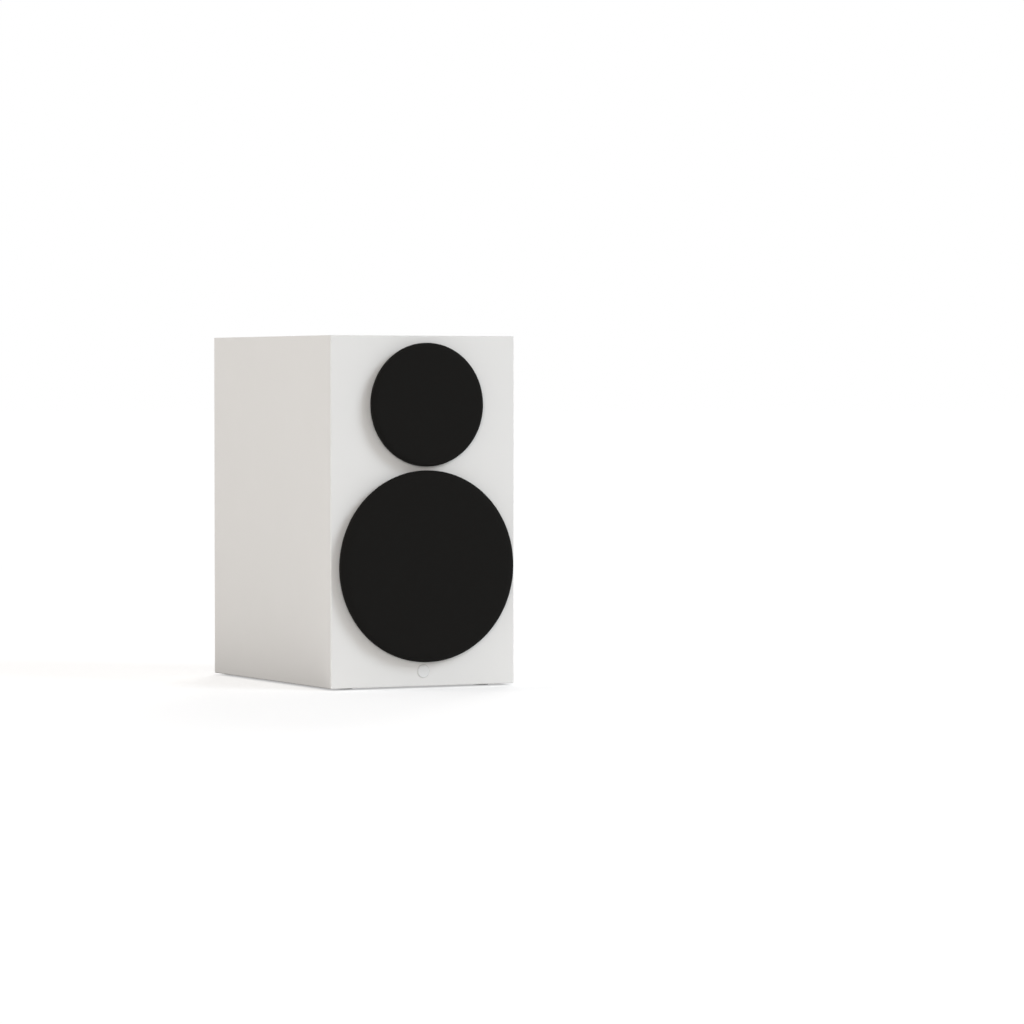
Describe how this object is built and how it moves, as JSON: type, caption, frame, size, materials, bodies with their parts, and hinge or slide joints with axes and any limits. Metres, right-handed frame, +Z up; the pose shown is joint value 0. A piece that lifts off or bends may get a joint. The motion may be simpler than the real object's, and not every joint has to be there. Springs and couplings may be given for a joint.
{
  "type": "bookshelf speaker",
  "caption": "Upright white two-way box loudspeaker with a small round black cloth grille above a large one, a rear reflex port and a recessed cup of screw-cap binding posts.",
  "frame": {"origin": "centre of the footprint of the whole speaker, on the surface that the feet stand on", "axes": "+Z up; the drivers and grilles face -Y; +X is to the right of a person facing the grilles"},
  "size_m": [0.174, 0.266, 0.3015],
  "materials": {
    "white_cabinet": "satin white vinyl-wrapped MDF",
    "raw_mdf": "raw MDF",
    "wadding": "loose polyester wadding",
    "foot_rubber": "soft matt rubber",
    "badge_plastic": "satin white, plain",
    "grille_cloth": "fine black knitted cloth",
    "grille_frame": "moulded black ABS",
    "trim_plastic": "satin black ABS",
    "nickel": "nickel plated",
    "black_screws": "black oxide",
    "basket_paint": "black powder coat",
    "gasket_foam": "closed-cell foam",
    "butyl_rubber": "butyl rubber",
    "cone_paper": "pressed pulp and polypropylene",
    "dust_cap": "soft matt",
    "spider_cloth": "resin-dipped cloth",
    "former_foil": "foil",
    "copper_wire": "enamelled copper",
    "zinc_steel": "zinc plated",
    "ferrite": "sintered ferrite",
    "tag_board": "phenolic board",
    "silk_dome": "coated silk",
    "moulded_black": "fine-textured black ABS",
    "gold_plate": "gold plated",
    "red_cap": "gloss red",
    "black_cap": "gloss black",
    "circuit_board": "green solder mask",
    "wire_jacket": "PVC jacket"
  },
  "bodies": {
    "cabinet": {"front_baffle": "white_cabinet", "rear_panel": "white_cabinet", "left_panel": "white_cabinet", "right_panel": "white_cabinet", "top_panel": "white_cabinet", "bottom_panel": "white_cabinet", "window_brace": "raw_mdf", "left_wadding": "wadding", "right_wadding": "wadding", "rubber_feet": "foot_rubber", "badge": "badge_plastic", "woofer_ring_magnets": "nickel", "tweeter_ring_magnets": "nickel", "woofer_trim_ring": "trim_plastic", "tweeter_trim_ring": "trim_plastic", "woofer_basket": "basket_paint", "woofer_gasket": "gasket_foam", "tweeter_gasket": "gasket_foam", "terminal_gasket": "gasket_foam", "woofer_screws": "black_screws", "tweeter_screws": "black_screws", "terminal_screws": "black_screws", "crossover_parts": "copper_wire", "woofer_top_plate": "zinc_steel", "woofer_yoke": "zinc_steel", "tweeter_top_plate": "zinc_steel", "tweeter_yoke": "zinc_steel", "woofer_magnet": "ferrite", "tweeter_magnet": "ferrite", "woofer_terminal_strip": "tag_board", "tweeter_terminal_strip": "tag_board", "tweeter_faceplate": "moulded_black", "tweeter_rear_chamber": "moulded_black", "port_tube": "moulded_black", "terminal_cup": "moulded_black", "red_post_stem": "gold_plate", "black_post_stem": "gold_plate", "post_lock_nuts": "gold_plate", "crossover_board": "circuit_board", "hookup_wires": "wire_jacket"},
    "woofer_grille": {"woofer_grille_frame": "grille_frame", "woofer_grille_fabric": "grille_cloth", "woofer_grille_magnets": "nickel"},
    "tweeter_grille": {"tweeter_grille_frame": "grille_frame", "tweeter_grille_fabric": "grille_cloth", "tweeter_grille_magnets": "nickel"},
    "woofer_diaphragm": {"woofer_cone": "cone_paper", "woofer_dust_cap": "dust_cap", "woofer_coil_former": "former_foil", "woofer_coil_winding": "copper_wire", "woofer_surround": "butyl_rubber", "woofer_spider": "spider_cloth", "woofer_tinsel_leads": "copper_wire"},
    "tweeter_diaphragm": {"tweeter_dome": "silk_dome", "tweeter_voice_coil": "copper_wire", "tweeter_surround": "silk_dome"},
    "red_washer": {"red_post_washer": "gold_plate"},
    "red_cap": {"red_post_cap": "red_cap"},
    "black_washer": {"black_post_washer": "gold_plate"},
    "black_cap": {"black_post_cap": "black_cap"}
  },
  "joints": [
    {"name": "woofer_grille_pull", "type": "slide", "parent": "cabinet", "child": "woofer_grille", "axis": [0, -1, 0], "range_m": [0, 0.06]},
    {"name": "tweeter_grille_pull", "type": "slide", "parent": "cabinet", "child": "tweeter_grille", "axis": [0, -1, 0], "range_m": [0, 0.06]},
    {"name": "woofer_cone_stroke", "type": "slide", "parent": "cabinet", "child": "woofer_diaphragm", "axis": [0, -1, 0], "range_m": [-0.004, 0.004], "stiffness_N_per_m": 1200, "deforming": ["woofer_surround", "woofer_spider", "woofer_tinsel_leads"]},
    {"name": "tweeter_dome_stroke", "type": "slide", "parent": "cabinet", "child": "tweeter_diaphragm", "axis": [0, -1, 0], "range_m": [-0.0005, 0.0005], "stiffness_N_per_m": 1500, "deforming": ["tweeter_surround"]},
    {"name": "red_washer_slide", "type": "slide", "parent": "cabinet", "child": "red_washer", "axis": [0, 1, 0], "range_m": [0, 0.005]},
    {"name": "red_cap_turn", "type": "hinge", "parent": "red_washer", "child": "red_cap", "pos_m": [-0.014, 0.122, 0.0795], "axis": [0, 1, 0], "range_deg": [0, 1800]},
    {"name": "black_washer_slide", "type": "slide", "parent": "cabinet", "child": "black_washer", "axis": [0, 1, 0], "range_m": [0, 0.005]},
    {"name": "black_cap_turn", "type": "hinge", "parent": "black_washer", "child": "black_cap", "pos_m": [0.014, 0.122, 0.0795], "axis": [0, 1, 0], "range_deg": [0, 1800]}
  ],
  "couplings": [
    {"joint": "red_cap_turn", "follows": "red_washer_slide", "rad_per_m": 6283.2},
    {"joint": "black_cap_turn", "follows": "black_washer_slide", "rad_per_m": 6283.2}
  ]
}
